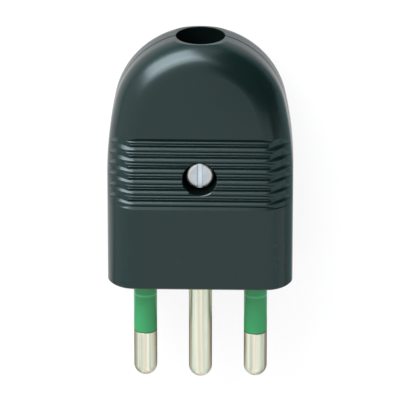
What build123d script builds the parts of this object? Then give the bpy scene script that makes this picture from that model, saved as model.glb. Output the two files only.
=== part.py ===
from build123d import *
import math
import os

# Three-pin in-line plug: two moulded half shells on one screw, three turned pins, cord clamp inside.
# Working axes: y runs from the engagement face to the cord end, z forward from the parting plane.

# Body outline and shell
body_width = 31.7
body_length = 44.6
body_depth = 14.0
straight_length = 19.7
side_radius = 62.0
edge_radius = 4.85
base_edge = 0.3
seam_gap = 0.08
seam_depth = 0.5
wall = 1.8
base_wall = 4.2
cavity_chamfer = 2.2

# Grip: a slightly sunk zone with sets of three saw-toothed grooves that fade out on the rounded sides
groove_sets = 6
groove_pitch = 1.99
groove_set = ((0.0, 0.12), (0.835, 0.27), (1.435, 0.11))
groove_slope = 22.0
groove_steep = 45.0
border_steep = 25.0
groove_fade = 0.35
first_groove_y = 15.32
grip_sink = 0.12
grip_fade = 0.03
grip_low_y = 14.95
grip_high_y = 27.35

# Pins
pin_diameter = 4.0
pin_pitch = 9.5
pin_length = 19.1
line_pin_setback = 0.2
collar_diameter = 6.0
collar_length = 1.4
collar_y = 1.6
neck_diameter = 3.6
neck_reach = 0.2
head_diameter = 6.4
head_length = 8.6
head_gap = 0.2
turned_chamfer = 0.3
wire_bore = 2.6
wire_bore_depth = 7.0
sleeve_core = 3.0
sleeve_reach = 10.5

# Terminal screws
terminal_thread = 2.5
terminal_screw_y = 8.7
terminal_seat_z = 2.9
terminal_reach = 2.6
terminal_head_diameter = 3.8
terminal_head_height = 1.3
terminal_slot = 0.6
terminal_spot = 4.2

# Inside of the shells
divider_thickness = 1.2
divider_length = 9.4
saddle_thickness = 1.2
saddle_inset = 0.4
peg_diameter = 2.4
peg_length = 2.0
peg_boss = 4.6
peg_x = 11.2
peg_y = 26.5

# Cover screw and its square nut
screw_y = 20.34
screw_thread = 3.0
screw_length = 7.4
screw_head_diameter = 4.75
screw_head_height = 1.5
screw_crown = 0.2
screw_slot = 0.9
screw_sink = 2.05
recess_diameter = 5.85
recess_chamfer = 0.2
boss_diameter = 8.4
slot_share = 0.25
nut_width = 5.5
nut_height = 2.4
nut_chamfer = 0.3
nut_roof = 1.5

# Cord entry and clamp
cord_hole = 8.3
cord_flat = 0.65
throat_diameter = 11.6
throat_length = 5.5
clamp_y = 34.5
clamp_length = 19.0
clamp_width = 4.2
clamp_thickness = 2.0
clamp_corner = 1.2
clamp_screw_x = 7.2
clamp_boss = 5.0
clamp_thread = 2.6
clamp_reach = 4.4
clamp_head_diameter = 4.4
clamp_head_height = 1.4
clamp_slot = 0.7
ridge_count = 3
ridge_pitch = 1.5
ridge_width = 0.7
ridge_height = 1.6
ridge_length = 7.0

# Clearances
pin_clearance = 0.05
thread_clearance = 0.02
screw_clearance = 0.1
screw_end_room = 0.4
nut_clearance = 0.05

# Derived sizes
half_width = body_width / 2
half_depth = body_depth / 2
cavity_depth = half_depth - wall
rise = body_length - straight_length
dome_radius = (side_radius**2 - (side_radius - half_width) ** 2 - rise**2) / (2 * (side_radius - rise))
dome_y = body_length - dome_radius
cord_end = body_length - cord_flat
turn = math.atan2(dome_y - straight_length, side_radius - half_width)
pin_xs = {"line_pin_left": -pin_pitch, "earth_pin": 0.0, "line_pin_right": pin_pitch}
set_ys = [first_groove_y + i * groove_pitch for i in range(groove_sets + 1)]
grooves = [(y + place, depth) for y in set_ys[:-1] for place, depth in groove_set]
grooves.append((set_ys[-1], groove_set[0][1]))
head_y = base_wall + head_gap
head_end = head_y + head_length
saddle_ys = (head_y + saddle_inset, head_end - saddle_inset - saddle_thickness)
screw_seat_z = half_depth - screw_sink - screw_head_height


def half_width_at(y):
    """Half width of the body at y on its straight side or side arc."""
    over = max(y - straight_length, 0.0)
    return half_width - side_radius + math.sqrt(side_radius**2 - over**2)


def outline(inset, base):
    """Plan of the body: flat base, straight sides, side arcs and a round dome, all moved in by inset."""
    side_x = half_width - inset
    side_r = side_radius - inset
    dome_r = dome_radius - inset
    centre_x = half_width - side_radius
    mid = (centre_x + side_r * math.cos(turn / 2), straight_length + side_r * math.sin(turn / 2))
    joint = (dome_r * math.cos(turn), dome_y + dome_r * math.sin(turn))
    right = [
        Line((side_x, base), (side_x, straight_length)),
        ThreePointArc((side_x, straight_length), mid, joint),
    ]
    left = [edge.mirror(Plane.YZ) for edge in right]
    dome = ThreePointArc(joint, (0, dome_y + dome_r), (-joint[0], joint[1]))
    return make_face([Line((-side_x, base), (side_x, base)), *right, dome, *left])


def front_rim(block, base):
    """Front edge of a block on its sides and dome, without the base."""
    return block.faces().sort_by(Axis.Z)[-1].edges().filter_by(lambda e: e.center().Y > base + 0.01)


def cylinder_z(diameter, x, y, low, high):
    """Upright cylinder between two heights."""
    return extrude(Pos(x, y, low) * Circle(diameter / 2), amount=high - low)


def cylinder_y(diameter, x, low, high):
    """Cylinder along the plug, centred on the parting plane."""
    start = Plane(origin=(x, low, 0), z_dir=(0, 1, 0))
    return extrude(start * Circle(diameter / 2), amount=high - low)


def box_between(x, y, z):
    """Box between two values on each axis."""
    corner = (Align.MIN, Align.MIN, Align.MIN)
    return Pos(x[0], y[0], z[0]) * Box(x[1] - x[0], y[1] - y[0], z[1] - z[0], align=corner)


def grip_cut(y, sink, fade, section):
    """Cutter that carries a section over the front and both rounded edges, sunk straight back."""
    side = half_width_at(y) + fade
    low = half_depth - edge_radius - sink
    top = half_depth - sink
    flat = side - edge_radius
    path = Wire([
        Plane.XZ.offset(-y) * CenterArc((flat, low), edge_radius, 0, 90),
        Plane.XZ.offset(-y) * Line((flat, top), (-flat, top)),
        Plane.XZ.offset(-y) * CenterArc((-flat, low), edge_radius, 90, 90),
    ])
    start = Plane(origin=(side, y, low), x_dir=(1, 0, 0), z_dir=(0, 0, 1))
    return sweep(start * make_face(Polyline(*section, close=True)), path)


def groove(y, depth):
    """One saw-toothed grip groove: steep towards the pins, gentle towards the cord."""
    sink = grip_sink + depth
    out = 1.5 * sink
    steep = border_steep if y == first_groove_y else groove_steep
    low, high = (out / math.tan(math.radians(angle)) for angle in (steep, groove_slope))
    return grip_cut(y, sink, groove_fade, [(0, 0), (out, -low), (out, high)])


def grip_shelf():
    """Slight sink of the whole grip zone, with a sloped lower end."""
    out = 2 * grip_sink
    lean = 1 / math.tan(math.radians(border_steep))
    high = grip_high_y - grip_low_y
    section = [(0, lean * grip_sink), (out, lean * (grip_sink - out)), (out, high), (0, high)]
    return grip_cut(grip_low_y, grip_sink, grip_fade, section)


def seam_cut():
    """Narrow gap that the half leaves at the parting plane, all round the outside."""
    around = extrude(outline(-seam_depth, -seam_depth), amount=seam_gap)
    return around - extrude(outline(seam_depth, seam_depth), amount=seam_gap)


def outer_half():
    """Outside of one half shell: flat cord end, base edge, seam and grip."""
    block = extrude(outline(0, 0), amount=half_depth)
    block = fillet(front_rim(block, 0), edge_radius)
    base_edges = block.faces().sort_by(Axis.Y)[0].edges().filter_by(lambda e: e.center().Z > 0.01)
    block = chamfer(base_edges, base_edge)
    block -= box_between((-half_width, half_width), (cord_end, 2 * body_length), (-half_depth, body_depth))
    return block - [seam_cut(), grip_shelf()] - [groove(*place) for place in grooves]


def shell_inside():
    """What stands inside both half shells: screw boss, dividers, pin saddles, throat and peg bosses."""
    pieces = [cylinder_z(boss_diameter, 0, screw_y, 0, half_depth)]
    for side in (-1, 1):
        divider_x = side * pin_pitch / 2
        width = (divider_x - divider_thickness / 2, divider_x + divider_thickness / 2)
        pieces.append(box_between(width, (0, base_wall + divider_length), (0, half_depth)))
        pieces.append(cylinder_z(peg_boss, side * peg_x, peg_y, 0, half_depth))
    for y in saddle_ys:
        pieces.append(box_between((-half_width, half_width), (y, y + saddle_thickness), (0, half_depth)))
    pieces.append(cylinder_y(throat_diameter, 0, body_length - throat_length, body_length))
    inside = pieces[0] + pieces[1:]
    nests = [cylinder_y(head_diameter + 2 * pin_clearance, x, base_wall, head_end) for x in pin_xs.values()]
    return inside - nests


def plain_half(extra):
    """Half shell with its cavity, its inner walls, the pin seats and its half of the cord entry."""
    cavity = extrude(outline(wall, base_wall), amount=cavity_depth)
    cavity = chamfer(front_rim(cavity, base_wall), cavity_chamfer)
    shell = outer_half() - (cavity - shell_inside() - extra)
    for x in pin_xs.values():
        shell -= cylinder_y(neck_diameter + 2 * pin_clearance, x, 0, head_y)
        pocket = (collar_y - pin_clearance, collar_y + collar_length + pin_clearance)
        shell -= cylinder_y(collar_diameter + 2 * pin_clearance, x, *pocket)
    return shell - cylinder_y(cord_hole, 0, body_length - throat_length, 2 * body_length)


def front_cover():
    """Front half: screw recess and two locating pegs."""
    cover = plain_half([])
    cover -= cylinder_z(recess_diameter, 0, screw_y, screw_seat_z, body_depth)
    rim = Pos(0, screw_y, half_depth - grip_sink) * Circle(recess_diameter / 2 + recess_chamfer)
    cover -= extrude(rim, amount=-recess_chamfer, taper=45)
    cover -= cylinder_z(screw_thread + 2 * screw_clearance, 0, screw_y, -half_depth, half_depth)
    for side in (-1, 1):
        cover += cylinder_z(peg_diameter, side * peg_x, peg_y, -peg_length, cavity_depth)
    return cover


def rear_shell():
    """Rear half: nut slot, peg holes, clamp bosses and cord ridges."""
    bosses = [cylinder_z(clamp_boss, side * clamp_screw_x, clamp_y, 0, half_depth) for side in (-1, 1)]
    ridges = []
    for i in range(ridge_count):
        y = clamp_y + (i - (ridge_count - 1) / 2) * ridge_pitch
        width = (y - ridge_width / 2, y + ridge_width / 2)
        height = (cavity_depth - ridge_height, half_depth)
        ridges.append(box_between((-ridge_length / 2, ridge_length / 2), width, height))
    shell = plain_half(bosses + ridges)
    slot_half = nut_width / 2 + nut_clearance
    slot_y = (screw_y - slot_half, screw_y + boss_diameter)
    slot_z = (nut_roof, nut_roof + nut_height + 2 * nut_clearance)
    shell -= box_between((-slot_half, slot_half), slot_y, slot_z)
    hole_end = screw_length - screw_seat_z + screw_end_room
    shell -= cylinder_z(screw_thread + 2 * screw_clearance, 0, screw_y, 0, hole_end)
    for side in (-1, 1):
        hole = peg_diameter + 2 * pin_clearance
        shell -= cylinder_z(hole, side * peg_x, peg_y, 0, peg_length + pin_clearance)
        thread = clamp_thread + 2 * thread_clearance
        shell -= cylinder_z(thread, side * clamp_screw_x, clamp_y, 0, clamp_reach + pin_clearance)
    return shell.mirror(Plane.XY)


def turned_pin(x, length):
    """Turned pin with a necked shank, a collar and a drilled terminal head."""
    tip = pin_diameter / 2
    neck = neck_diameter / 2
    head = head_diameter / 2
    turned = Polyline(
        (tip, tip - length),
        (tip, -neck_reach),
        (neck, -neck_reach),
        (neck, collar_y),
        (collar_diameter / 2, collar_y),
        (collar_diameter / 2, collar_y + collar_length),
        (neck, collar_y + collar_length),
        (neck, head_y),
        (head - turned_chamfer, head_y),
        (head, head_y + turned_chamfer),
        (head, head_end - turned_chamfer),
        (head - turned_chamfer, head_end),
        (0, head_end),
        (0, -length),
    )
    dome = CenterArc((0, tip - length), tip, -90, 90)
    pin = Pos(x, 0, 0) * revolve(make_face([dome, turned]), Axis.Y)
    pin -= cylinder_y(wire_bore, x, head_end - wire_bore_depth, head_end)
    pin -= cylinder_z(terminal_thread, x, terminal_screw_y, 0, head)
    return pin - cylinder_z(terminal_spot, x, terminal_screw_y, terminal_seat_z, head)


def lined_pin(x):
    """Pin turned down between its bare tip and its collar, to take a sleeve."""
    seat = cylinder_y(2 * pin_diameter, x, -sleeve_reach, collar_y)
    pin = turned_pin(x, pin_length - line_pin_setback)
    return pin - (seat - cylinder_y(sleeve_core, x, -sleeve_reach, collar_y))


def sleeve(x):
    """Insulating sleeve from the pin's shoulder to its collar, flush with the bare tip and necked at the base."""
    tube = cylinder_y(pin_diameter, x, -sleeve_reach, -neck_reach)
    tube += cylinder_y(neck_diameter, x, -neck_reach, collar_y)
    return tube - cylinder_y(sleeve_core + 2 * thread_clearance, x, -sleeve_reach, collar_y)


def slotted_screw(x, y, seat, thread, reach, head, height, slot, crown):
    """Slotted screw standing on its seat height, its slot along the plug."""
    screw = cylinder_z(head, x, y, seat, seat + height)
    screw = chamfer(screw.faces().sort_by(Axis.Z)[-1].edges(), crown)
    screw += cylinder_z(thread, x, y, seat - reach, seat)
    slot_z = (seat + (1 - slot_share) * height, seat + 2 * height)
    return screw - box_between((x - slot / 2, x + slot / 2), (y - head, y + head), slot_z)


def cover_nut():
    """Square nut up against the roof of its slot."""
    nut = extrude(Pos(0, screw_y, -nut_roof) * Rectangle(nut_width, nut_width), amount=-nut_height)
    nut = chamfer(nut.edges().filter_by(Axis.Z), nut_chamfer)
    return nut - cylinder_z(screw_thread + 2 * thread_clearance, 0, screw_y, -half_depth, 0)


def cord_clamp():
    """Clamp bar across the cord path, lying on its two bosses."""
    plan = Pos(0, clamp_y) * RectangleRounded(clamp_length, clamp_width, clamp_corner)
    bar = extrude(plan, amount=clamp_thickness)
    for side in (-1, 1):
        hole = clamp_thread + 2 * screw_clearance
        bar -= cylinder_z(hole, side * clamp_screw_x, clamp_y, 0, clamp_thickness)
    return bar


# The pieces, each under its own name
nodes = {"front_cover": front_cover(), "rear_shell": rear_shell(), "cover_nut": cover_nut()}
nodes["cover_screw"] = slotted_screw(
    0, screw_y, screw_seat_z, screw_thread, screw_length, screw_head_diameter, screw_head_height,
    screw_slot, screw_crown)
for name, x in pin_xs.items():
    lined = name != "earth_pin"
    nodes[name] = lined_pin(x) if lined else turned_pin(x, pin_length)
    nodes["terminal_screw_" + name.replace("line_pin_", "").replace("_pin", "")] = slotted_screw(
        x, terminal_screw_y, terminal_seat_z, terminal_thread - 2 * thread_clearance, terminal_reach,
        terminal_head_diameter, terminal_head_height, terminal_slot, turned_chamfer)
    if lined:
        nodes[name.replace("pin", "sleeve")] = sleeve(x)
nodes["cord_clamp"] = cord_clamp()
for word, side in (("left", -1), ("right", 1)):
    nodes["clamp_screw_" + word] = slotted_screw(
        side * clamp_screw_x, clamp_y, clamp_thickness, clamp_thread, clamp_thickness + clamp_reach,
        clamp_head_diameter, clamp_head_height, clamp_slot, turned_chamfer)

# The plug lies on its rear face, with the origin halfway along it
os.makedirs("parts", exist_ok=True)
for name, shape in nodes.items():
    export_step(Pos(0, (pin_length - body_length) / 2, half_depth) * shape, f"parts/{name}.step")
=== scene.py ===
import bpy
import bmesh
import math
from functools import partial
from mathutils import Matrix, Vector
from mathutils.bvhtree import BVHTree
from mathutils.interpolate import poly_3d_calc


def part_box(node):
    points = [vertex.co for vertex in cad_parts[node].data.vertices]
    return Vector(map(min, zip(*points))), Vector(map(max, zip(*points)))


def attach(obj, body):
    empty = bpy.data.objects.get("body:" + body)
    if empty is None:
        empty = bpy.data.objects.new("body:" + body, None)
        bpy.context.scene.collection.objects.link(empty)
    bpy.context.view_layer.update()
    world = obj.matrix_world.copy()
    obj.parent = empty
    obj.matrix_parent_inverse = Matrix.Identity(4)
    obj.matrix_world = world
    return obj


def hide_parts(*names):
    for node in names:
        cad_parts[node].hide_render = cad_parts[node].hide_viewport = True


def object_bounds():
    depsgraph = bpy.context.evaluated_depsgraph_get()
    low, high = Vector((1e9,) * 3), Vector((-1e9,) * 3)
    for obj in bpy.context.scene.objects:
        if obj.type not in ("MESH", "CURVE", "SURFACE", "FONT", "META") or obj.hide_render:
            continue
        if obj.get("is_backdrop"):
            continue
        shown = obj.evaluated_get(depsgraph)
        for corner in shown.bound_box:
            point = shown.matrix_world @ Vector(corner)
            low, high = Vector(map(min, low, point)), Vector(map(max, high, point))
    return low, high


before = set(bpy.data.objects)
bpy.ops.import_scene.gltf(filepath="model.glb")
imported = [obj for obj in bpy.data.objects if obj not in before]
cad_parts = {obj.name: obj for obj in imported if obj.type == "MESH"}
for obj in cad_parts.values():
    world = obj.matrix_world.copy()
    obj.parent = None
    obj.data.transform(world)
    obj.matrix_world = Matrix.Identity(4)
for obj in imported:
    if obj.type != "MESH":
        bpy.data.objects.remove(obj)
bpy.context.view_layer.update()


# Half shells of the plug body, front cover and rear shell.
# Injection-moulded dark charcoal thermoplastic with a satin skin and a very fine, even grain.
# They are split on the middle plane, held by one screw, and gripped by six teeth round each edge.

mm = 0.001
cover_low, cover_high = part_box("front_cover")
seam_height, seam_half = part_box("rear_shell")[1].z, 0.20 * mm
screw_low, screw_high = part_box("cover_screw")
screw_axis = (screw_low + screw_high) / 2
recess_radius, recess_start = 2.925 * mm, seam_height + 1 * mm
cord_radius, cord_start = 4.15 * mm, cover_high.y - 8 * mm
core_inner, core_outer, core_fade = 0.02 * mm, 0.05 * mm, 0.1 * mm

charcoal_dark, charcoal_light = (0.0020, 0.0088, 0.0074), (0.0028, 0.0108, 0.0092)
# Painted shade: the darker tone is multiplied into the recess and bore walls and into the seam
# band.
unshaded_tone, painted_shade_tone = (1, 1, 1), (0.25, 0.25, 0.25)
shell_gloss, core_gloss = 0.52, 0.052
# Painted reflection colour: a cool tint on the shell's reflections stands in for the cool colour
# of the light.
cool_reflection_tint = (0.80, 0.95, 1.0, 1.0)

grid_columns, grid_step = 8, 220
noise_low, noise_high = 0.3, 0.7
edge_samples = 6


def supply(tree, socket, term):
    """Links a socket to another one, or sets it to a plain value."""
    if isinstance(term, bpy.types.NodeSocket):
        tree.links.new(term, socket)
    else:
        socket.default_value = term


def feed(tree, node, **terms):
    """Supplies a node's inputs by socket name."""
    for name, term in terms.items():
        supply(tree, node.inputs[name.replace("_", " ")], term)


def add_node(tree, kind, **terms):
    """One shader or geometry node on the next place of a grid, with its inputs fed."""
    node = tree.nodes.new(kind)
    row, column = divmod(len(tree.nodes) - 1, grid_columns)
    node.location = (column * grid_step, -row * grid_step)
    feed(tree, node, **terms)
    return node


def new_material(name):
    """An empty material with a Principled surface, and that surface's node."""
    material = bpy.data.materials.new(name)
    material.use_nodes = True
    tree = material.node_tree
    tree.nodes.clear()
    surface = add_node(tree, "ShaderNodeBsdfPrincipled")
    add_node(tree, "ShaderNodeOutputMaterial", Surface=surface.outputs["BSDF"])
    return material, tree, surface


def object_place(tree):
    """Place on the piece, in the plug's own frame."""
    return add_node(tree, "ShaderNodeTexCoord").outputs["Object"]


def skin_group():
    """Moulded or drawn skin: a fine grain and slow cloudy patches, as two masks around 0.5."""
    group = bpy.data.node_groups.new("skin", "ShaderNodeTree")
    add_socket = partial(group.interface.new_socket, socket_type="NodeSocketFloat")
    layers = {"Grain": (3.0, 0.6), "Patches": (2.0, 0.5)}
    for layer in layers:
        add_socket(layer + " per metre", in_out="INPUT")
        add_socket(layer, in_out="OUTPUT")
    entry = add_node(group, "NodeGroupInput").outputs
    leave = add_node(group, "NodeGroupOutput")
    place = object_place(group)
    for layer, (detail, roughness) in layers.items():
        noise = add_node(
            group, "ShaderNodeTexNoise", Vector=place, Scale=entry[layer + " per metre"],
            Detail=detail, Roughness=roughness)
        group.links.new(noise.outputs["Fac"], leave.inputs[layer])
    return group


def place_skin(tree, grain, patches):
    """The two masks of the skin group in a material, with its own rates per metre."""
    node = add_node(tree, "ShaderNodeGroup")
    node.node_tree = skin
    feed(tree, node, Grain_per_metre=grain, Patches_per_metre=patches)
    return node.outputs


def between(tree, value, start, end, low=0.0, high=1.0):
    """Runs from low to high over a stretch of a value, and stays level beyond it."""
    node = add_node(
        tree, "ShaderNodeMapRange", Value=value, From_Min=start, From_Max=end,
        To_Min=low, To_Max=high)
    return node.outputs["Result"]


def spread(tree, mask, low, high):
    """Carries a noise mask from around its middle to a range of values."""
    return between(tree, mask, noise_low, noise_high, low, high)


def mixed(tree, mask, first, second, way="MIX"):
    """Colour between two, each a socket or a plain colour, led by a mask."""
    node = add_node(tree, "ShaderNodeMix")
    node.data_type = "RGBA"
    node.blend_type = way
    first, second = ((*c, 1) if isinstance(c, tuple) else c for c in (first, second))
    feed(tree, node, Factor=mask, A=first, B=second)
    return node.outputs["Result"]


def rounded_bump(tree, height, strength, depth, edge):
    """Fine relief on normals that run round the sharp edges in a small radius."""
    soft = add_node(tree, "ShaderNodeBevel", Radius=edge)
    soft.samples = edge_samples
    bump = add_node(
        tree, "ShaderNodeBump", Strength=strength, Distance=depth, Height=height,
        Normal=soft.outputs["Normal"])
    return bump.outputs["Normal"]


def calc(tree, operation, *terms):
    """One math node on sockets and plain numbers."""
    node = add_node(tree, "ShaderNodeMath")
    node.operation = operation
    for socket, term in zip(node.inputs, terms):
        supply(tree, socket, term)
    return node.outputs["Value"]


def vector_calc(tree, operation, first, second):
    """One vector math node, with the output that its operation gives."""
    node = add_node(tree, "ShaderNodeVectorMath")
    node.operation = operation
    supply(tree, node.inputs[0], first)
    supply(tree, node.inputs[1], second)
    return node.outputs["Vector" if operation == "MULTIPLY" else "Value"]


def core_mask(tree, centre, across, radius, start):
    """Mask of the walls that a core pin of the mould leaves, from a start along its axis."""
    place = object_place(tree)
    away = vector_calc(
        tree, "DISTANCE", vector_calc(tree, "MULTIPLY", place, across), centre * across)
    along = vector_calc(tree, "DOT_PRODUCT", place, Vector((1, 1, 1)) - across)
    inside = between(tree, away, radius + core_outer, radius + core_inner)
    return calc(tree, "MULTIPLY", inside, between(tree, along, start, start + core_fade))


def band(tree, axis, middle, half):
    """Mask of a narrow line round a piece at one place along an axis."""
    along = add_node(tree, "ShaderNodeSeparateXYZ", Vector=object_place(tree)).outputs[axis]
    away = calc(tree, "ABSOLUTE", calc(tree, "SUBTRACT", along, middle))
    return between(tree, away, half, 0.5 * half)


skin = skin_group()
shell_plastic, tree, surface = new_material("charcoal_plastic")
shell_skin = place_skin(tree, grain=5200, patches=130)
# Painted shade: the walls of the screw recess and of the cord bore take a quarter of the body
# colour as shade. They also turn fully rough with little gloss, as a matt moulded finish.
recess = core_mask(tree, screw_axis, Vector((1, 1, 0)), recess_radius, recess_start)
cord_axis = Vector((0, 0, seam_height))
cord_bore = core_mask(tree, cord_axis, Vector((1, 0, 1)), cord_radius, cord_start)
# The seam is a real joint between the halves. This band paints it wider and darker as its shade,
# rough and with little gloss.
seam = band(tree, "Z", seam_height, seam_half)
shade_and_matt_mask = calc(tree, "MAXIMUM", calc(tree, "MAXIMUM", recess, cord_bore), seam)
charcoal = mixed(tree, shell_skin["Patches"], charcoal_dark, charcoal_light)
painted_shade = mixed(tree, shade_and_matt_mask, unshaded_tone, painted_shade_tone)
satin = spread(tree, shell_skin["Patches"], low=0.23, high=0.28)
# The export drops a linked gloss, so the socket also holds the gloss of the outer skin.
feed(tree, surface, Specular_IOR_Level=shell_gloss)
feed(
    tree, surface, Base_Color=mixed(tree, 1.0, charcoal, painted_shade, "MULTIPLY"),
    Roughness=calc(tree, "MAXIMUM", satin, shade_and_matt_mask),
    Specular_IOR_Level=between(tree, shade_and_matt_mask, 0.0, 1.0, shell_gloss, core_gloss),
    Specular_Tint=cool_reflection_tint,
    Normal=rounded_bump(
        tree, shell_skin["Grain"], strength=0.12, depth=0.02 * mm, edge=0.05 * mm))

edge_radius, side_radius, straight_end = 4.85 * mm, 62 * mm, cover_low.y + 19.7 * mm
edge_rise = seam_height - edge_radius
tooth_count, tooth_pitch, first_crest = 6, 1.99 * mm, cover_low.y + 15.685 * mm
wall_run, slope_run = (1 / math.tan(math.radians(angle)) for angle in (39, 17))
tooth_clear = 0.02 * mm
weld, same_place, same_way = 0.0005 * mm, 0.003 * mm, 0.995
least_kept = 0.5

# Rings of a tooth: angle round the edge in degrees, depth and shift towards the cord in mm.
tooth_rings = (
    (90, 0.11, 0.00), (84, 0.20, 0.00), (78, 0.29, 0.02), (72, 0.36, 0.05), (66, 0.40, 0.10),
    (60, 0.41, 0.16), (54, 0.41, 0.22), (48, 0.39, 0.28), (42, 0.34, 0.33), (36, 0.27, 0.37),
    (30, 0.19, 0.40), (24, 0.09, 0.42), (18, -0.02, 0.43))


def edge_centre(y):
    """Distance from the middle to the centre of the rounded edge, at one place along the body."""
    over = max(y - straight_end, 0.0)
    return cover_high.x - edge_radius - side_radius + math.sqrt(side_radius ** 2 - over ** 2)


def tooth_point(side, up, y, out, angle):
    """Point at a distance from the rounded edge's centre line."""
    x = side * (edge_centre(y) + out * math.cos(angle))
    return (x, y, seam_height + up * (edge_rise + out * math.sin(angle)))


def rework(mesh, job):
    """Runs one job of mesh editing on a mesh."""
    shape = bmesh.new()
    shape.from_mesh(mesh)
    job(shape)
    shape.to_mesh(mesh)
    shape.free()


def tooth_cutter(up):
    """Wedges that deepen the grip's teeth round both edges, with a steep wall towards the pins."""
    corners, faces = [], []
    for side in (-1, 1):
        for k in range(tooth_count):
            start = len(corners)
            for angle, depth, shift in tooth_rings:
                depth, crest = depth * mm, first_crest + k * tooth_pitch + shift * mm
                root = crest + depth * wall_run
                section = (
                    (crest - tooth_clear * wall_run, tooth_clear), (root, -depth),
                    (root + (depth + tooth_clear) * slope_run, tooth_clear))
                corners += [
                    tooth_point(side, up, y, edge_radius + lift, math.radians(angle))
                    for y, lift in section]
            last = len(corners) - 3
            for ring in range(start, last, 3):
                faces += [
                    (ring + a, ring + b, ring + 3 + b, ring + 3 + a)
                    for a, b in ((0, 1), (1, 2), (2, 0))]
            faces += [(start, start + 2, start + 1), (last, last + 1, last + 2)]
    mesh = bpy.data.meshes.new("tooth_cutter")
    mesh.from_pydata(corners, [], faces)
    rework(mesh, lambda shape: bmesh.ops.recalc_face_normals(shape, faces=shape.faces))
    return mesh


def settled(piece):
    """The piece's shape with its modifiers applied, as a plain mesh."""
    graph = bpy.context.evaluated_depsgraph_get()
    mesh = bpy.data.meshes.new_from_object(piece.evaluated_get(graph))
    piece.modifiers.clear()
    return mesh


def moulded_normals(mesh, plain, up):
    """Normals of the half shell: its own on faces that stay, round the edge on the teeth."""
    places = [v.co.copy() for v in plain.vertices]
    faces = [list(f.vertices) for f in plain.polygons]
    finder = BVHTree.FromPolygons(places, faces)
    smooth = [n.vector.copy() for n in plain.corner_normals]
    normals = [None] * len(mesh.loops)
    for face in mesh.polygons:
        way, index, away = finder.find_nearest(face.center)[1:]
        stays = away < same_place and way.dot(face.normal) > same_way
        for loop in face.loop_indices:
            place = mesh.vertices[mesh.loops[loop].vertex_index].co
            if stays:
                first = plain.polygons[index].loop_start
                weights = poly_3d_calc([places[v] for v in faces[index]], place)
                normal = sum((w * smooth[first + k] for k, w in enumerate(weights)), Vector())
            else:
                across = place.x - math.copysign(edge_centre(place.y), place.x)
                out = Vector((across, 0, place.z - seam_height - up * edge_rise)).normalized()
                tilt = face.normal.y
                normal = out * math.sqrt(max(1 - tilt ** 2, 0)) + Vector((0, tilt, 0))
            normals[loop] = normal.normalized()
    return normals


def moulded_half(name, node, up):
    """The half shell with its grip's teeth carried deeper round the edges."""
    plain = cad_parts[node].data
    mesh = plain.copy()
    rework(mesh, lambda shape: bmesh.ops.remove_doubles(shape, verts=shape.verts, dist=weld))
    piece = bpy.data.objects.new(name, mesh)
    cutter = bpy.data.objects.new("tooth_cutter", tooth_cutter(up))
    for thing in (piece, cutter):
        bpy.context.scene.collection.objects.link(thing)
    cut = piece.modifiers.new("teeth", "BOOLEAN")
    cut.operation = "DIFFERENCE"
    cut.solver = "EXACT"
    cut.object = cutter
    toothed = settled(piece)
    bpy.data.objects.remove(cutter)
    # A cut that fails takes nearly all of the shell away, and then the plain half stays.
    if len(toothed.polygons) > least_kept * len(mesh.polygons):
        mesh = toothed
    piece.data = mesh
    mesh.name = name
    mesh.shade_smooth()
    mesh.normals_split_custom_set(moulded_normals(mesh, plain, up))
    mesh.materials.clear()
    mesh.materials.append(shell_plastic)
    return piece


for node, name, up in (("front_cover", "moulded_cover", 1), ("rear_shell", "moulded_rear", -1)):
    half = moulded_half(name, node, up)
    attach(half, "root")
    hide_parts(node)


# Contact pins: one bare earth pin and two line pins that are bare at the tip.
# Turned from brass rod with a rounded tip, polished lengthways and nickel plated, so fine streaks
# run along each pin over faint rings round it.

pin_names = ("earth_pin", "line_pin_left", "line_pin_right")
streak_rates, ring_rates, ring_share = (2200, 16, 2200), (40, 7000, 40), 0.4
nickel_dark, nickel_light = (0.62, 0.56, 0.43), (0.95, 0.90, 0.75)
# Painted shade: a dark edge tint dims the pins' reflections at grazing angles, towards their
# outlines.
nickel_edge_shade = (0.30, 0.27, 0.22, 1.0)


def stretched_grain(tree, rates):
    """Grain drawn out along one axis, as polishing or turning leaves it, from rates per metre."""
    squeezed = add_node(tree, "ShaderNodeMapping", Vector=object_place(tree), Scale=rates)
    grain = add_node(
        tree, "ShaderNodeTexNoise", Vector=squeezed.outputs["Vector"], Scale=1.0, Detail=2.0)
    return grain.outputs["Fac"]


def coat(material, *names):
    """Gives the CAD's own pieces their material."""
    for name in names:
        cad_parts[name].data.materials[0] = material


pin_metal, tree, surface = new_material("nickel_plate")
pin_skin = place_skin(tree, grain=2600, patches=320)
streaks = stretched_grain(tree, streak_rates)
rings = stretched_grain(tree, ring_rates)
relief = calc(tree, "ADD", calc(tree, "MULTIPLY", rings, ring_share), streaks)
feed(
    tree, surface, Metallic=1.0, Specular_Tint=nickel_edge_shade,
    Base_Color=mixed(tree, spread(tree, streaks, low=0.0, high=1.0), nickel_dark, nickel_light),
    Roughness=spread(tree, pin_skin["Patches"], low=0.33, high=0.40),
    Normal=rounded_bump(tree, relief, strength=0.35, depth=0.012 * mm, edge=0.08 * mm))
coat(pin_metal, *pin_names)


# Insulating sleeves on the line pins.
# Green polyamide moulded round the thinned shank, flush with the bare tip. Painted shade marks the
# end of each as a dark line, and a painted highlight runs round it near the body as a pale ring.

sleeve_end, sleeve_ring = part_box("line_sleeve_left")[0].y, cover_low.y - 3.5 * mm
line_half = 0.22 * mm
green_dark, green_light = (0.015, 0.220, 0.066), (0.023, 0.258, 0.083)
end_shade_green, ring_highlight_green = (0.004, 0.05, 0.016), (0.05, 0.36, 0.14)

sleeve_plastic, tree, surface = new_material("green_sleeve")
sleeve_skin = place_skin(tree, grain=3800, patches=260)
green = mixed(tree, sleeve_skin["Patches"], green_dark, green_light)
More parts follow.
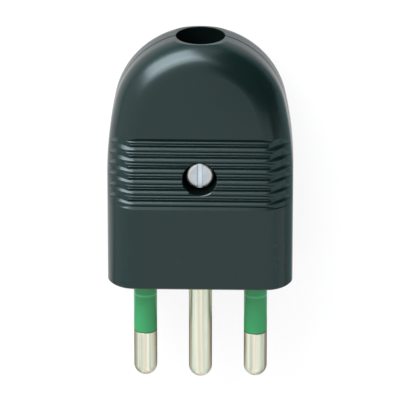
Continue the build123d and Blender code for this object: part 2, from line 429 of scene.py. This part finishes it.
# Painted shade at the sleeve's end, and a painted highlight on the ring near the body.
for place, tone in ((sleeve_end, end_shade_green), (sleeve_ring, ring_highlight_green)):
    green = mixed(tree, band(tree, "Y", place, line_half), green, tone)
feed(
    tree, surface, Base_Color=green,
    Roughness=spread(tree, sleeve_skin["Patches"], low=0.30, high=0.40),
    Normal=rounded_bump(
        tree, sleeve_skin["Grain"], strength=0.10, depth=0.02 * mm, edge=0.10 * mm))
coat(sleeve_plastic, "line_sleeve_left", "line_sleeve_right")


# Slotted screws and the square nut.
# Cold-formed steel with a bright, slightly bluish zinc plate. Each screw has a crowned head
# with one slot along the plug, and a thread rolled on its shank.

# The cream tone is a painted reflection, laid on faces turned away from straight up.
zinc_dark, zinc_light, glint_zinc = (0.47, 0.51, 0.55), (0.70, 0.74, 0.78), (0.90, 0.88, 0.80)
glint_start, glint_end = 0.997, 0.988
# The slot's tones are painted light: a brighter copy of the plate as a painted reflection, and a
# dark tone as painted shade by its walls.
slot_dark, slot_light, slot_shade_tone = (0.62, 0.72, 0.78), (0.80, 0.89, 0.94), (0.16, 0.20, 0.22)
# Reach and thresholds of the painted shade next to the slot's walls.
nook_reach, nook_samples, slot_shade_start, slot_shade_end = 0.2 * mm, 8, 0.85, 0.55
mill_rates = (6000, 60, 6000)
head_sides, head_steps, crown_ring, crown_fall = 64, 10, 0.76, 0.16
core_sides, turn_steps, ridge_sides, ridge_share, thread_gap = 40, 28, 4, 0.55, 0.6
sharp_fold = math.radians(30)

zinc, tree, surface = new_material("zinc_plate")
zinc_skin = place_skin(tree, grain=3000, patches=700)
facet = add_node(tree, "ShaderNodeNewGeometry").outputs["Normal"]
upward = add_node(tree, "ShaderNodeSeparateXYZ", Vector=facet).outputs["Z"]
# Painted reflection: every face turned more than a few degrees from straight up, from the ring of
# the crown outwards, takes a pale cream tone.
tilt_glint = between(tree, upward, glint_start, glint_end)
plate = mixed(tree, zinc_skin["Patches"], zinc_dark, zinc_light)
feed(
    tree, surface, Metallic=1.0, Base_Color=mixed(tree, tilt_glint, plate, glint_zinc),
    Roughness=spread(tree, zinc_skin["Grain"], low=0.30, high=0.45),
    Normal=rounded_bump(
        tree, zinc_skin["Grain"], strength=0.15, depth=0.02 * mm, edge=0.05 * mm))
coat(zinc, "cover_nut")

# Painted reflection: the slot's faces are a brighter copy of the zinc plate.
lit_slot, tree, surface = new_material("lit_slot_zinc")
lit_slot_skin = place_skin(tree, grain=2400, patches=900)
# Painted shade: the slot floor darkens next to its walls, where they close it in.
nook = add_node(tree, "ShaderNodeAmbientOcclusion", Distance=nook_reach)
nook.samples = nook_samples
nook.only_local = True
slot_edge_shade = between(tree, nook.outputs["AO"], slot_shade_start, slot_shade_end)
lit_slot_tone = mixed(tree, lit_slot_skin["Patches"], slot_dark, slot_light)
feed(
    tree, surface, Metallic=1.0, Roughness=0.4,
    Base_Color=mixed(tree, slot_edge_shade, lit_slot_tone, slot_shade_tone),
    Normal=rounded_bump(
        tree, stretched_grain(tree, mill_rates), strength=0.2, depth=0.02 * mm, edge=0.03 * mm))


def joined(tree, x, y, z):
    """Vector from three sockets or numbers."""
    return add_node(tree, "ShaderNodeCombineXYZ", X=x, Y=y, Z=z).outputs["Vector"]


def lifted(tree, mesh, height):
    """Moves a mesh along the screw."""
    raised = joined(tree, 0.0, 0.0, height)
    node = add_node(tree, "GeometryNodeTransform", Geometry=mesh, Translation=raised)
    return node.outputs["Geometry"]


def sums(tree, *operations):
    """Math nodes of one tree, as plain functions."""
    return [partial(calc, tree, operation) for operation in operations]


def crowned_head(tree, size):
    """Round head on its seat, with rings that crowd towards a rounded edge."""
    add, less, times, most, root = sums(tree, "ADD", "SUBTRACT", "MULTIPLY", "MAXIMUM", "SQRT")
    radius, crown = times(size["Head"], 0.5), size["Crown"]
    disc = add_node(
        tree, "GeometryNodeMeshCylinder", Vertices=head_sides, Fill_Segments=head_steps,
        Radius=radius, Depth=size["Height"])
    disc.fill_type = "TRIANGLE_FAN"
    place = add_node(tree, "GeometryNodeInputPosition").outputs["Position"]
    x, y, z = add_node(tree, "ShaderNodeSeparateXYZ", Vector=place).outputs
    out = root(add(times(x, x), times(y, y)))
    stretch = less(2.0, calc(tree, "DIVIDE", out, radius))
    reach = times(out, stretch)
    over = most(less(reach, less(radius, crown)), 0.0)
    rest = less(times(crown, crown), times(over, over))
    edge = less(crown, root(most(rest, 0.0)))
    ring = most(less(reach, times(radius, crown_ring)), 0.0)
    drop = add(edge, times(ring, crown_fall))
    top = times(calc(tree, "GREATER_THAN", z, 0.0), less(size["Height"], drop))
    shape = add_node(
        tree, "GeometryNodeSetPosition", Geometry=disc.outputs["Mesh"],
        Position=joined(tree, times(x, stretch), times(y, stretch), top))
    return shape.outputs["Geometry"]


def slotted(tree, size, head):
    """Head with a straight slot cut across it along the plug."""
    length, depth = (calc(tree, "MULTIPLY", size[name], 2.0) for name in ("Head", "Slot depth"))
    blade = add_node(tree, "GeometryNodeMeshCube", Size=joined(tree, size["Slot"], length, depth))
    bright = add_node(
        tree, "GeometryNodeSetMaterial", Geometry=blade.outputs["Mesh"],
        Material=size["Slot metal"])
    cut = add_node(tree, "GeometryNodeMeshBoolean")
    cut.operation = "DIFFERENCE"
    cut.solver = "EXACT"
    raised = lifted(tree, bright.outputs["Geometry"], size["Height"])
    feed(tree, cut, Mesh_1=head, Mesh_2=raised)
    return cut.outputs["Mesh"]


def threaded_shank(tree, size):
    """Core of the shank and the ridge that winds down it."""
    less, times = sums(tree, "SUBTRACT", "MULTIPLY")
    pitch, reach = size["Pitch"], size["Reach"]
    ridge = times(pitch, ridge_share)
    radius = less(times(size["Thread"], 0.5), ridge)
    core = add_node(
        tree, "GeometryNodeMeshCylinder", Vertices=core_sides, Radius=radius, Depth=reach)
    run = less(reach, times(pitch, 2 * thread_gap))
    helix = add_node(
        tree, "GeometryNodeCurveSpiral", Resolution=turn_steps,
        Rotations=calc(tree, "DIVIDE", run, pitch), Start_Radius=radius, End_Radius=radius,
        Height=run)
    level = add_node(tree, "GeometryNodeSetCurveNormal", Curve=helix.outputs["Curve"])
    level.mode = "Z_UP"
    edge = add_node(
        tree, "GeometryNodeCurvePrimitiveCircle", Resolution=ridge_sides, Radius=ridge)
    winding = add_node(
        tree, "GeometryNodeCurveToMesh", Curve=level.outputs["Curve"],
        Profile_Curve=edge.outputs["Curve"], Fill_Caps=True)
    return [
        lifted(tree, core.outputs["Mesh"], times(reach, -0.5)),
        lifted(tree, winding.outputs["Mesh"], less(times(pitch, thread_gap), reach)),
    ]


def screw_tree():
    """A slotted screw standing on its seat, from its sizes."""
    tree = bpy.data.node_groups.new("slotted_screw", "GeometryNodeTree")
    add_socket = tree.interface.new_socket
    for name in ("Thread", "Pitch", "Reach", "Head", "Height", "Crown", "Slot", "Slot depth"):
        add_socket(name, in_out="INPUT", socket_type="NodeSocketFloat")
    add_socket("Seat", in_out="INPUT", socket_type="NodeSocketVector")
    for name in ("Plate", "Slot metal"):
        add_socket(name, in_out="INPUT", socket_type="NodeSocketMaterial")
    add_socket("Geometry", in_out="OUTPUT", socket_type="NodeSocketGeometry")
    size = add_node(tree, "NodeGroupInput").outputs
    whole = add_node(tree, "GeometryNodeJoinGeometry")
    for mesh in [slotted(tree, size, crowned_head(tree, size)), *threaded_shank(tree, size)]:
        tree.links.new(mesh, whole.inputs["Geometry"])
    fold = add_node(tree, "GeometryNodeInputMeshEdgeAngle").outputs["Unsigned Angle"]
    smooth = add_node(
        tree, "GeometryNodeSetShadeSmooth", Geometry=whole.outputs["Geometry"],
        Selection=calc(tree, "GREATER_THAN", fold, sharp_fold), Shade_Smooth=False)
    smooth.domain = "EDGE"
    seated = add_node(
        tree, "GeometryNodeTransform", Geometry=smooth.outputs["Geometry"],
        Translation=size["Seat"])
    real = add_node(
        tree, "GeometryNodeRealizeInstances", Geometry=seated.outputs["Geometry"])
    cut_face = add_node(tree, "GeometryNodeMaterialSelection", Material=size["Slot metal"])
    plated = add_node(
        tree, "GeometryNodeSetMaterial", Geometry=real.outputs["Geometry"],
        Selection=calc(tree, "SUBTRACT", 1.0, cut_face.outputs["Selection"]),
        Material=size["Plate"])
    add_node(tree, "NodeGroupOutput", Geometry=plated.outputs["Geometry"])
    return tree


def grown(name, tree, values):
    """Piece made by a geometry tree from named inputs, as a plain mesh."""
    piece = bpy.data.objects.new(name, bpy.data.meshes.new(name))
    bpy.context.scene.collection.objects.link(piece)
    grow = piece.modifiers.new(name, "NODES")
    grow.node_group = tree
    for socket in tree.interface.items_tree:
        if socket.in_out == "INPUT":
            grow[socket.identifier] = values[socket.name]
    piece.data = settled(piece)
    piece.data.name = name
    return piece


# Kinds of screw: thread, head's height, crown's radius and slot's width in mm, and the screws.
screw_kinds = (
    (3.0, 1.5, 0.38, 0.9, ("cover_screw",)),
    (2.46, 1.3, 0.3, 0.6, ("terminal_screw_left", "terminal_screw_right", "terminal_screw_earth")),
    (2.6, 1.4, 0.3, 0.7, ("clamp_screw_left", "clamp_screw_right")),
)
pitch_share, slot_share = 0.17, 0.25
slotted_screw = screw_tree()
for thread, height, crown, slot, names in screw_kinds:
    for name in names:
        low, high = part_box(name)
        screw = grown(name.replace("screw", "zinc_screw"), slotted_screw, {
            "Thread": thread * mm, "Pitch": pitch_share * thread * mm,
            "Reach": high.z - low.z - height * mm,
            "Head": high.x - low.x, "Height": height * mm, "Crown": crown * mm,
            "Slot": slot * mm, "Slot depth": slot_share * height * mm,
            "Seat": Vector(((low.x + high.x) / 2, (low.y + high.y) / 2, high.z - height * mm)),
            "Plate": zinc, "Slot metal": lit_slot})
        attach(screw, "root")
        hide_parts(name)


# Cord clamp bar inside the body.
# Pressed from brown fibre sheet, with a matt, slightly mottled face, and held by two screws.

fibre_dark, fibre_light = (0.15, 0.105, 0.07), (0.24, 0.18, 0.13)

clamp_fibre, tree, surface = new_material("clamp_fibre")
fibre_skin = place_skin(tree, grain=2400, patches=500)
feed(
    tree, surface, Base_Color=mixed(tree, fibre_skin["Grain"], fibre_dark, fibre_light),
    Roughness=spread(tree, fibre_skin["Patches"], low=0.65, high=0.8),
    Normal=rounded_bump(
        tree, fibre_skin["Grain"], strength=0.3, depth=0.03 * mm, edge=0.10 * mm))
coat(clamp_fibre, "cord_clamp")


# Pale studio floor, large enough to run out of every view.
# Matt white paper just under the plug, which keeps a soft contact shadow.

floor_reach, floor_height = 40.0, -0.05 * mm
floor_lift = 0.86
paper_dark, paper_light = (0.93, 0.93, 0.93), (0.96, 0.96, 0.96)


def rectangle(x0, x1, y0, y1, z=0.0):
    """Corners of a level rectangle."""
    return [(x0, y0, z), (x1, y0, z), (x1, y1, z), (x0, y1, z)]


def new_sheet(name, corners, paper):
    """Flat sheet of one or more rectangles, which isn't part of the plug."""
    mesh = bpy.data.meshes.new(name)
    mesh.from_pydata(corners, [], [tuple(range(k, k + 4)) for k in range(0, len(corners), 4)])
    mesh.materials.append(paper)
    sheet = bpy.data.objects.new(name, mesh)
    bpy.context.scene.collection.objects.link(sheet)
    sheet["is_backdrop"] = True
    return sheet


floor_paper, tree, surface = new_material("floor_paper")
paper_skin = place_skin(tree, grain=900, patches=12)
feed(
    tree, surface, Base_Color=mixed(tree, paper_skin["Grain"], paper_dark, paper_light),
    Roughness=0.9, Specular_IOR_Level=0.0)
rays = add_node(tree, "ShaderNodeLightPath").outputs
mirrored = calc(tree, "MAXIMUM", rays["Is Glossy Ray"], rays["Is Transmission Ray"])
straight = calc(tree, "MAXIMUM", rays["Is Camera Ray"], mirrored)
glow = add_node(tree, "ShaderNodeEmission", Color=(1, 1, 1, 1), Strength=1.0)
blend = add_node(tree, "ShaderNodeMixShader", Fac=calc(tree, "MULTIPLY", straight, floor_lift))
tree.links.new(surface.outputs["BSDF"], blend.inputs[1])
tree.links.new(glow.outputs["Emission"], blend.inputs[2])
feed(tree, tree.nodes["Material Output"], Surface=blend.outputs["Shader"])
floor_sides = (-floor_reach, floor_reach, -floor_reach, floor_reach)
new_sheet("studio_floor", rectangle(*floor_sides, floor_height), floor_paper)


# Light: a white tent all round, two soft boxes at the upper left, and a strip for the pins alone.
# Black and pale cards beside the plug and cloths on the floor show only in reflections, as the
# flags and reflectors beside a glossy product do.

middle = Vector((0, 1.07, 7)) * mm
lamp_distance, strip_distance = 350 * mm, 330 * mm
tent_white, lamp_white = (0.97, 0.99, 1.0, 1.0), (0.94, 0.98, 1.0)
box_side, top_side = Vector((-0.477, 0.743, 0.469)), Vector((-0.347, 0.541, 0.766))
pin_side = Vector((0, -0.94, 0.342))


def facing(thing, way, centre=middle, distance=lamp_distance):
    """Puts a lamp or card out along a direction, turned to face the plug."""
    way = way.normalized()
    thing.location = centre + way * distance
    thing.rotation_euler = (-way).to_track_quat("-Z", "Y").to_euler()


def area_lamp(name, way, width, length, power, distance=lamp_distance):
    """Soft rectangular lamp that faces the plug."""
    light = bpy.data.lights.new(name, "AREA")
    light.shape = "RECTANGLE"
    light.size, light.size_y = width, length
    light.energy = power
    lamp = bpy.data.objects.new(name, light)
    lamp.visible_camera = False
    bpy.context.scene.collection.objects.link(lamp)
    facing(lamp, way, distance=distance)
    return lamp


world = bpy.data.worlds.new("light_tent")
bpy.context.scene.world = world
world.use_nodes = True
feed(world.node_tree, world.node_tree.nodes["Background"], Color=tent_white, Strength=1.0)

soft_box = area_lamp("soft_box", box_side, width=300 * mm, length=220 * mm, power=1.85)
soft_top = area_lamp("soft_top", top_side, width=300 * mm, length=110 * mm, power=0.63)
for lamp in (soft_box, soft_top):
    lamp.data.color = lamp_white
soft_top.visible_diffuse = False

pins = bpy.data.collections.new("pins")
for name in pin_names:
    pins.objects.link(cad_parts[name])
pin_strip = area_lamp(
    "pin_strip", pin_side, width=540 * mm, length=280 * mm, power=0.5, distance=strip_distance)
pin_strip.light_linking.receiver_collection = pins


def reflected_sheet(name, corners, paper):
    """Sheet of card or cloth that shows in reflections only."""
    sheet = new_sheet(name, corners, paper)
    sheet.visible_camera = False
    sheet.visible_diffuse = False
    sheet.visible_shadow = False
    return sheet


def sheet_paper(name, dark, light):
    """Matt paper or cloth with a little grain."""
    material, tree, surface = new_material(name)
    grain = place_skin(tree, grain=400, patches=20)["Grain"]
    tone = mixed(tree, grain, dark, light)
    feed(tree, surface, Base_Color=tone, Roughness=1.0, Specular_IOR_Level=0.0)
    return material


black = sheet_paper("black_card", (0.004, 0.004, 0.004), (0.008, 0.008, 0.008))
grey = sheet_paper("grey_cloth", (0.30, 0.30, 0.29), (0.36, 0.36, 0.35))
blue = sheet_paper("blue_cloth", (0.24, 0.35, 0.36), (0.29, 0.41, 0.42))
pale = sheet_paper("pale_card", (0.42, 0.58, 0.58), (0.48, 0.65, 0.65))
dim = sheet_paper("dim_cloth", (0.04, 0.06, 0.06), (0.06, 0.09, 0.09))

flag_side, flag_spot = Vector((0.807, 0.429, 0.407)), Vector((10, 24, 12.5)) * mm
flag_cut, flag_distance = (-125 * mm, 125 * mm, -75 * mm, 75 * mm), 130 * mm
flag = reflected_sheet("black_card", rectangle(*flag_cut), black)
facing(flag, flag_side, flag_spot, flag_distance)

over_height, over_reach, over_step = 80 * mm, 130 * mm, 50 * mm
over_near = rectangle(6 * mm, over_reach, -2 * mm, over_step, over_height)
over_far = rectangle(16 * mm, over_reach, over_step, over_reach, over_height)
reflected_sheet("over_card", over_near + over_far, black)

low_cut = (-170 * mm, 230 * mm, -150 * mm, 150 * mm)
pale_cut = (-110 * mm, 110 * mm, -150 * mm, 150 * mm)
pale_side = Vector((0.62, -0.70, 0.35))
facing(reflected_sheet("low_card", rectangle(*low_cut), black), pin_side)
for name, side in (("left_card", -1), ("right_card", 1)):
    pale_card = reflected_sheet(name, rectangle(*pale_cut), pale)
    facing(pale_card, pale_side * Vector((side, 1, 1)))

# The cloths leave bare floor round the body and past the tips of the pins.
bare_left, bare_right, bare_near, bare_far = -60 * mm, 21 * mm, -24 * mm, 52 * mm
tip_line, tip_half, near_half, reach = -38 * mm, 16 * mm, 70 * mm, 600 * mm
dim_left, dim_near = 42 * mm, 24 * mm
cloth_height, dim_height = 0.2 * mm, 0.4 * mm
near_cloth = (
    (-near_half, near_half, tip_line, bare_near), (-near_half, -tip_half, -reach, tip_line),
    (tip_half, near_half, -reach, tip_line))
side_cloth = (
    (-reach, reach, bare_far, reach), (-reach, bare_left, bare_near, bare_far),
    (bare_right, reach, bare_near, bare_far), (-reach, -near_half, -reach, bare_near),
    (near_half, reach, -reach, bare_near))
far_cloth = ((dim_left, reach, dim_near, reach),)
for name, cuts, height, paper in (
        ("near_cloth", near_cloth, cloth_height, grey),
        ("side_cloth", side_cloth, cloth_height, blue),
        ("far_cloth", far_cloth, dim_height, dim)):
    reflected_sheet(name, [c for sides in cuts for c in rectangle(*sides, height)], paper)


# Camera: a long lens a little above square to the front face, towards the cord end, and a touch
# to the right. The picture is 400 pixels wide, and is shifted by half a pixel.

lean, turn = math.radians(22.8), math.radians(1.4)
camera_distance, seen_width = 830 * mm, 68.5 * mm
picture_width, picture_shift = 400, -0.5
back = Vector((math.sin(turn) * math.cos(lean), math.sin(lean), math.cos(turn) * math.cos(lean)))
lens = bpy.data.cameras.new("camera")
lens.sensor_width = 36
lens.lens = lens.sensor_width * camera_distance / seen_width
lens.shift_x = picture_shift / picture_width
lens.clip_start, lens.clip_end = 0.01, 100
camera = bpy.data.objects.new("camera", lens)
camera.location = middle + back * camera_distance
camera.rotation_euler = (-lean, turn, 0)
bpy.context.scene.collection.objects.link(camera)
bpy.context.scene.camera = camera
bpy.context.scene.view_settings.view_transform = "Standard"

low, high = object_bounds()
